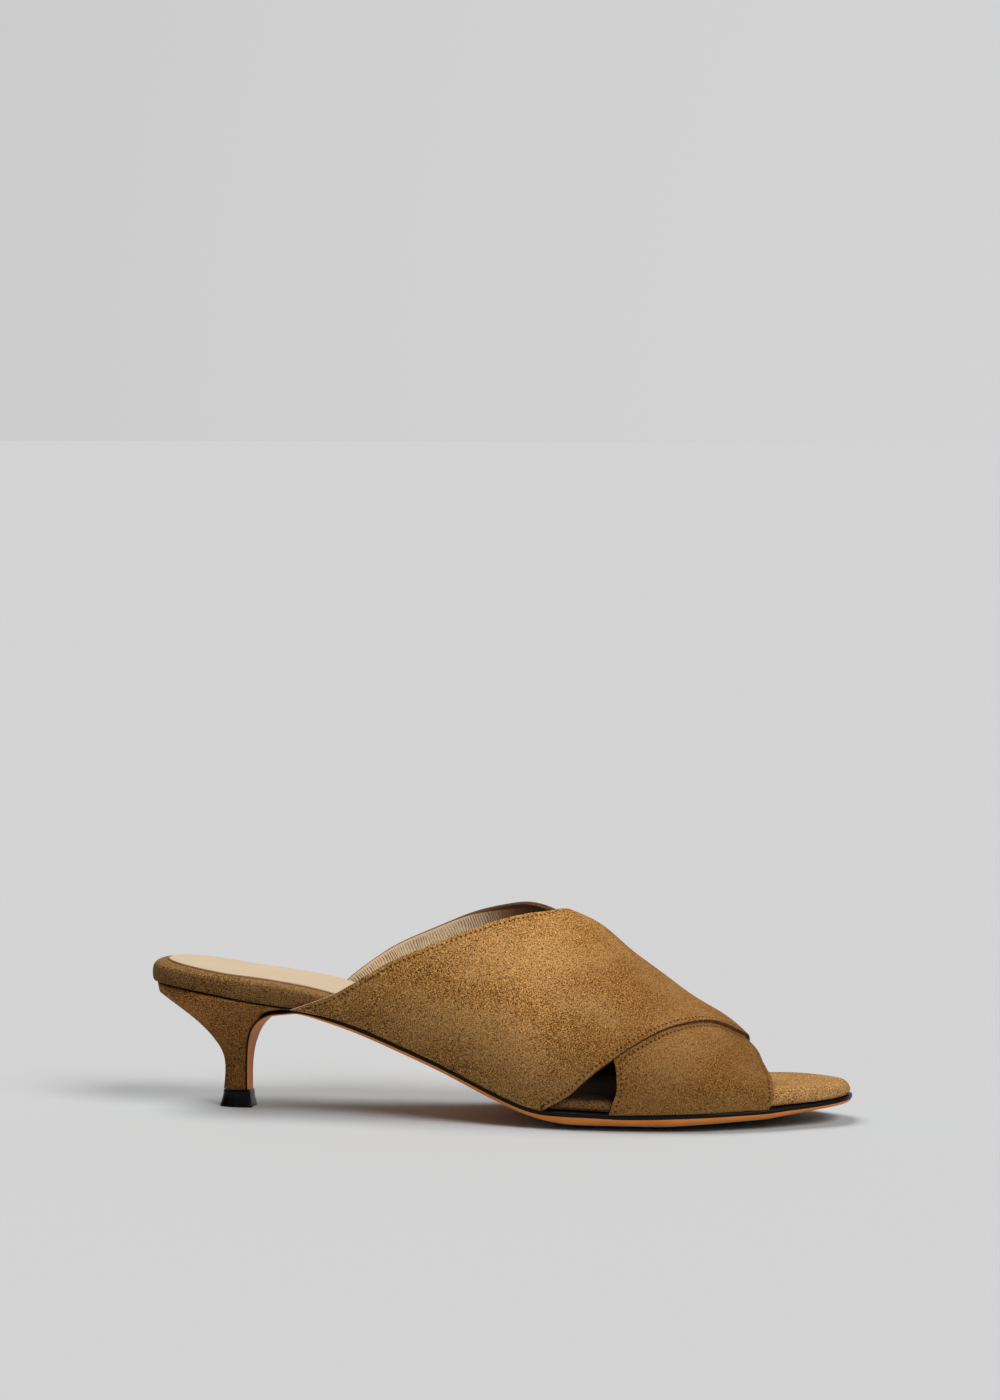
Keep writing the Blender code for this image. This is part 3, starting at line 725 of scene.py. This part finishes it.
cut_edge = Finish("strap_cut_edge")
edge_grain = clouds(cut_edge, 0.0005, detail=2.0)
edge_mix = step(cut_edge, edge_grain, 0.35, 0.65)
edge_colour = mixed(cut_edge, edge_mix, hue(62, 38, 16), hue(122, 84, 46))
edge_height = cut_edge.node("ShaderNodeSeparateXYZ", sockets={0: cut_edge.place}, out="Z")
low_down = step(cut_edge, edge_height, 0.021, 0.017)
at_tails = 1.0 - place_along(cut_edge, -0.050, -0.044)
at_window = place_along(cut_edge, 0.0405, 0.0425) * low_down
raw = at_tails + at_window
edge_colour = mixed(cut_edge, raw, edge_colour, hue(214, 168, 130))
cut_edge.put("Base Color", edge_colour)
cut_edge.put("Roughness", 0.95)
cut_edge.put("Specular IOR Level", 0.12)
cut_edge.put("Normal", bump(cut_edge, edge_grain, 0.00010))

hand_over(straps, "upper", [strap_suede, lining, cut_edge])

# %% [markdown]
# ## Footbed
# The footbed is a board and foam pad wrapped in the same suede, pulled tight over a rounded
# edge. No corner of it is sharp, so its skin is subdivided without a crease. Painted light makes
# its top lighter than its upright side, top and side are made lighter toward the toe, and the
# stretch under the straps is in painted shade.

# %% Skin the footbed
UNDER_STRAPS = (-0.020, 0.006, 0.078, 0.094)


def write_facing(skin, name="facing_up", way=1.0):
    """Store how far each vertex faces up, or down with way -1."""
    facing = skin.data.attributes.new(name, "FLOAT", "POINT")
    for vertex in skin.data.vertices:
        facing.data[vertex.index].value = max(vertex.normal.z * way, 0.0)


footbed = start_skin("footbed", "suede_footbed")
subdivide(footbed, 2)
write_facing(footbed)
# Painted light on the suede that faces up, lighter still toward the toe, and painted shade under the
# straps.
bed_up = step(bed_suede, attribute(bed_suede, "facing_up"), 0.35, 0.95)
start, dark, light, end = UNDER_STRAPS
covered = place_along(bed_suede, start, dark) * (1.0 - place_along(bed_suede, light, end))
bed_colour = Wire(bed_suede.shader.inputs["Base Color"].links[0].from_socket)
toe_side = place_along(bed_suede, 0.086, 0.100) * (1.0 - bed_up)
toe_top = place_along(bed_suede, 0.080, 0.094)
bed_tone = 0.47 + bed_up * (0.34 + toe_top * 0.46) + toe_side * 0.78
bed_shade = bed_tone * (1.0 - covered * bed_up * 0.92)
bed_suede.put("Base Color", times(bed_suede, bed_colour, bed_shade))
hand_over(footbed, "footbed", [bed_suede])

# %% [markdown]
# ## Sock lining
# A sock of smooth beige leather is glued on the footbed. The solids keep a small gap between
# the two, so the skin is let down by most of that gap and lies on the bed as if glued.

# %% Skin the sock
GLUED_DOWN = 0.00025

sock_leather = Finish("sock_leather")
sock_pores = clouds(sock_leather, 0.0005, detail=3.0)
sock_tone = clouds(sock_leather, 0.02)
sock_leather.put("Base Color", mixed(sock_leather, sock_tone, hue(203, 176, 144), hue(213, 189, 158)))
sock_leather.put("Roughness", 0.55)
sock_leather.put("Normal", bump(sock_leather, sock_pores, 0.00003))
sock = start_skin("sock_lining", "leather_sock")
edit(sock)
bpy.ops.mesh.select_all(action="SELECT")
bpy.ops.transform.translate(value=(0.0, 0.0, -GLUED_DOWN))
close_edit()
crease_corners(sock, 0.9)
subdivide(sock, 2)
hand_over(sock, "sock_lining", [sock_leather])

# %% [markdown]
# ## Heel
# The heel block is covered in one piece of suede, turned in behind the breast. Its front
# corners stay crisp, so they are creased almost fully. Its suede is mixed darker than the straps'
# as painted shade, and painted shade darkens it further toward the top piece.

# %% Skin the heel
heel_height = heel_suede_in_painted_shade.node("ShaderNodeSeparateXYZ", sockets={0: heel_suede_in_painted_shade.place}, out="Z")
heel_colour = Wire(heel_suede_in_painted_shade.shader.inputs["Base Color"].links[0].from_socket)
# Painted shade: darker toward the top piece.
heel_shade = 0.66 + step(heel_suede_in_painted_shade, heel_height, 0.008, 0.040) * 0.46
heel_suede_in_painted_shade.put("Base Color", times(heel_suede_in_painted_shade, heel_colour, heel_shade))
heel = start_skin("heel", "suede_heel")
crease_corners(heel, 0.85)
subdivide(heel, 2)
hand_over(heel, "heel", [heel_suede_in_painted_shade])

# %% [markdown]
# ## Outsole
# The outsole is tan leather. Its upright edge is trimmed and painted nearly black, and the
# rounded corner under it is left tan. On the heel's breast the same edge is a thin dark line.
# The skin's faces fall into patches again: the sheet that lies against the footbed and the
# heel is the patch nearest to them, and the upright strip is what borders on that sheet. Both
# get the number 1 and the rest gets 0, and a little noise makes the painter's line uneven.
# The sheet is also drawn up to its neighbours, since the real sole is cemented on without a gap.
# What faces straight down is given a greyer, walked-on leather.

# %% Paint and skin the outsole
CEMENTED = 0.00032


def bed_sheet(bm, neighbours):
    """The patch of the outsole that lies against the footbed and the heel."""
    def distance(group):
        total = sum(neighbours.find_nearest(face.calc_center_median())[3] for face in group)
        return total / len(group)
    return min((group for group in patches(bm) if len(group) > 20), key=distance)


def solid_tree(names):
    """Search tree over the faces of some solids."""
    places, faces = [], []
    for name in names:
        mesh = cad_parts[name].data
        faces += [[len(places) + index for index in p.vertices] for p in mesh.polygons]
        places += [v.co.copy() for v in mesh.vertices]
    return BVHTree.FromPolygons(places, faces)


def paint_edge(skin):
    """Mark the sheet and the upright strip beside it, and draw the sheet up to the bed."""
    bm = bmesh.new()
    bm.from_mesh(skin.data)
    bm.normal_update()
    marks = bm.verts.layers.float.new("paint")
    sheet = set(bed_sheet(bm, solid_tree(["footbed", "heel"])))
    strip = {near for face in sheet for edge in face.edges for near in edge.link_faces}
    for face in strip | sheet:
        for vertex in face.verts:
            vertex[marks] = 1.0
    lifted = {vertex for face in sheet for vertex in face.verts}
    for vertex in lifted:
        facing = sum((f.normal for f in vertex.link_faces if f in sheet), Vector())
        vertex.co += facing.normalized() * CEMENTED
    bm.to_mesh(skin.data)
    bm.free()
    print("sheet of", len(sheet), "faces, strip of", len(strip - sheet))


outsole = start_skin("outsole", "leather_outsole")
paint_edge(outsole)
crease_corners(outsole, 0.9)
subdivide(outsole, 2)
write_facing(outsole, "facing_down", -1.0)

sole_leather = Finish("sole_leather")
sole_fibre = clouds(sole_leather, 0.0012, detail=3.0, stretch=(6.0, 1.0, 1.0))
sole_tone = clouds(sole_leather, 0.015, detail=2.0)
sole_mix = sole_fibre * 0.5 + sole_tone * 0.5
sole_colour = mixed(sole_leather, sole_mix, hue(188, 98, 34), hue(238, 156, 80))
tread = step(sole_leather, attribute(sole_leather, "facing_down"), 0.90, 0.975)
sole_colour = mixed(sole_leather, tread, sole_colour, hue(186, 166, 144))
ragged = clouds(sole_leather, 0.0007, detail=2.0)
paint = step(sole_leather, attribute(sole_leather, "paint") + ragged * 0.10, 0.94, 1.03)
sole_colour = mixed(sole_leather, paint, sole_colour, hue(20, 16, 14))
sole_leather.put("Base Color", sole_colour)
sole_leather.put("Roughness", 0.50 - paint * 0.14)
sole_leather.put("Specular IOR Level", 0.1)
sole_leather.put("Normal", bump(sole_leather, sole_fibre, 0.00004))
hand_over(outsole, "outsole", [sole_leather])

# %% [markdown]
# ## Top piece
# The heel ends in a small glossy black block of plastic, flared at its foot.

# %% Skin the top piece
tip_plastic = Finish("tip_plastic")
tip_scuffs = clouds(tip_plastic, 0.003, detail=4.0)
tip_plastic.put("Base Color", mixed(tip_plastic, tip_scuffs, hue(5, 5, 5), hue(12, 11, 11)))
tip_plastic.put("Roughness", 0.22 + tip_scuffs * 0.16)
tip_plastic.put("Specular IOR Level", 0.2)
tip = start_skin("heel_tip", "black_top_piece")
crease_corners(tip, 0.8)
subdivide(tip, 2)
hand_over(tip, "heel_tip", [tip_plastic])
